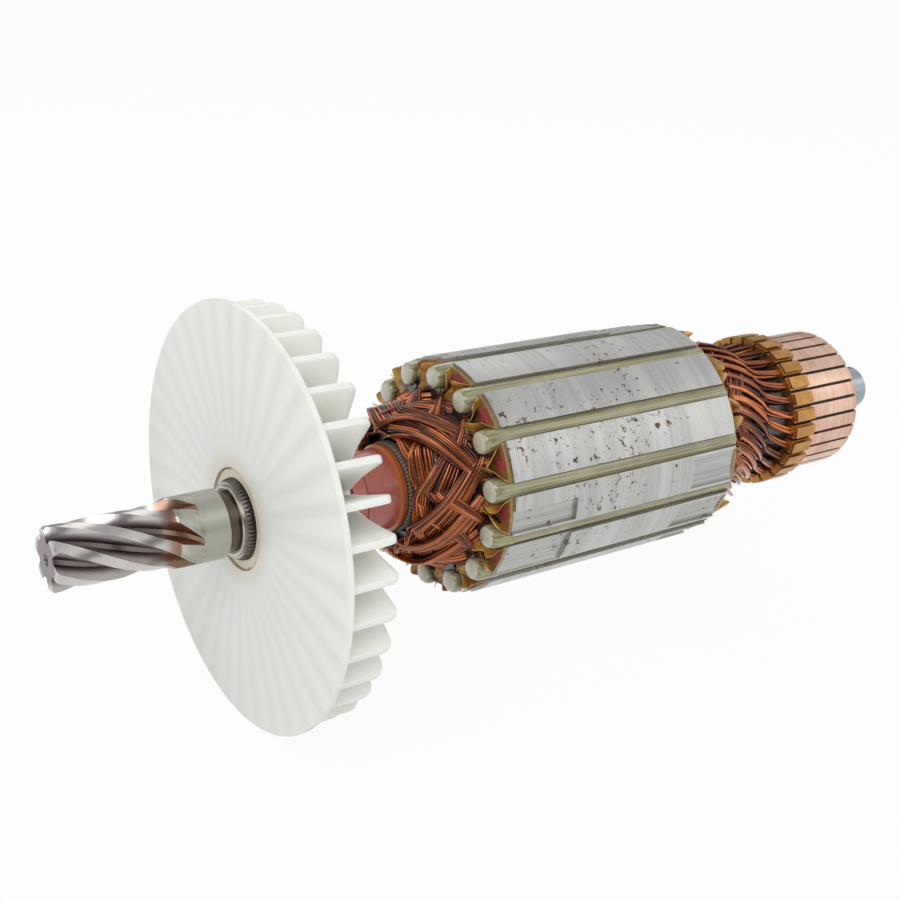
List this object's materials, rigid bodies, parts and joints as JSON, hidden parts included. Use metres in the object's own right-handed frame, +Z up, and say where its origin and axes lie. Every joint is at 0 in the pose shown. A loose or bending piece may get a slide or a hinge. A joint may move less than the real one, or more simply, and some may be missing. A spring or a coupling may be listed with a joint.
{
  "type": "motor armature",
  "caption": "Wound armature of a universal motor, with a helical pinion and a moulded cooling fan on its shaft and a barrel commutator at the other end.",
  "frame": {"origin": "on the shaft's axis, at the middle of the front bearing seat, which lies between the pinion and the fan", "axes": "+X runs along the shaft from the pinion towards the commutator, +Z is up, and +Y points away from the side that the picture shows"},
  "size_m": [0.2389, 0.0936, 0.0936],
  "materials": {
    "shaft_steel": "ground and oiled",
    "fan_nylon": "moulded nylon",
    "bush_plastic": "moulded",
    "sleeve_resin": "varnished",
    "cord": "varnished cord",
    "core_steel": "stacked electrical steel, lightly rusted",
    "fibre_sheet": "vulcanised fibre",
    "liner_paper": "varnished film",
    "winding_wire": "copper wire under dark varnish",
    "commutator_resin": "phenolic moulding",
    "commutator_mica": "undercut insulation",
    "wedge": "resin rod",
    "commutator_copper": "turned copper"
  },
  "bodies": {
    "root": {"rotor_shaft": "shaft_steel", "cooling_fan": "fan_nylon", "fan_bush": "bush_plastic", "front_sleeve": "sleeve_resin", "binding_cord": "cord", "core_tube": "sleeve_resin", "core_laminations": "core_steel", "end_sheet_front": "fibre_sheet", "end_sheet_rear": "fibre_sheet", "slot_liners": "liner_paper", "slot_coils": "winding_wire", "front_winding": "winding_wire", "rear_winding": "winding_wire", "commutator_leads": "winding_wire", "commutator_moulding": "commutator_resin", "commutator_mica": "commutator_mica", "slot_wedge_1": "wedge", "slot_wedge_2": "wedge", "slot_wedge_3": "wedge", "slot_wedge_4": "wedge", "slot_wedge_5": "wedge", "slot_wedge_6": "wedge", "slot_wedge_7": "wedge", "slot_wedge_8": "wedge", "slot_wedge_9": "wedge", "slot_wedge_10": "wedge", "slot_wedge_11": "wedge", "slot_wedge_12": "wedge", "slot_wedge_13": "wedge", "slot_wedge_14": "wedge", "commutator_bar_1": "commutator_copper", "commutator_bar_2": "commutator_copper", "commutator_bar_3": "commutator_copper", "commutator_bar_4": "commutator_copper", "commutator_bar_5": "commutator_copper", "commutator_bar_6": "commutator_copper", "commutator_bar_7": "commutator_copper", "commutator_bar_8": "commutator_copper", "commutator_bar_9": "commutator_copper", "commutator_bar_10": "commutator_copper", "commutator_bar_11": "commutator_copper", "commutator_bar_12": "commutator_copper", "commutator_bar_13": "commutator_copper", "commutator_bar_14": "commutator_copper", "commutator_bar_15": "commutator_copper", "commutator_bar_16": "commutator_copper", "commutator_bar_17": "commutator_copper", "commutator_bar_18": "commutator_copper", "commutator_bar_19": "commutator_copper", "commutator_bar_20": "commutator_copper", "commutator_bar_21": "commutator_copper", "commutator_bar_22": "commutator_copper", "commutator_bar_23": "commutator_copper", "commutator_bar_24": "commutator_copper", "commutator_bar_25": "commutator_copper", "commutator_bar_26": "commutator_copper", "commutator_bar_27": "commutator_copper", "commutator_bar_28": "commutator_copper"}
  },
  "joints": []
}
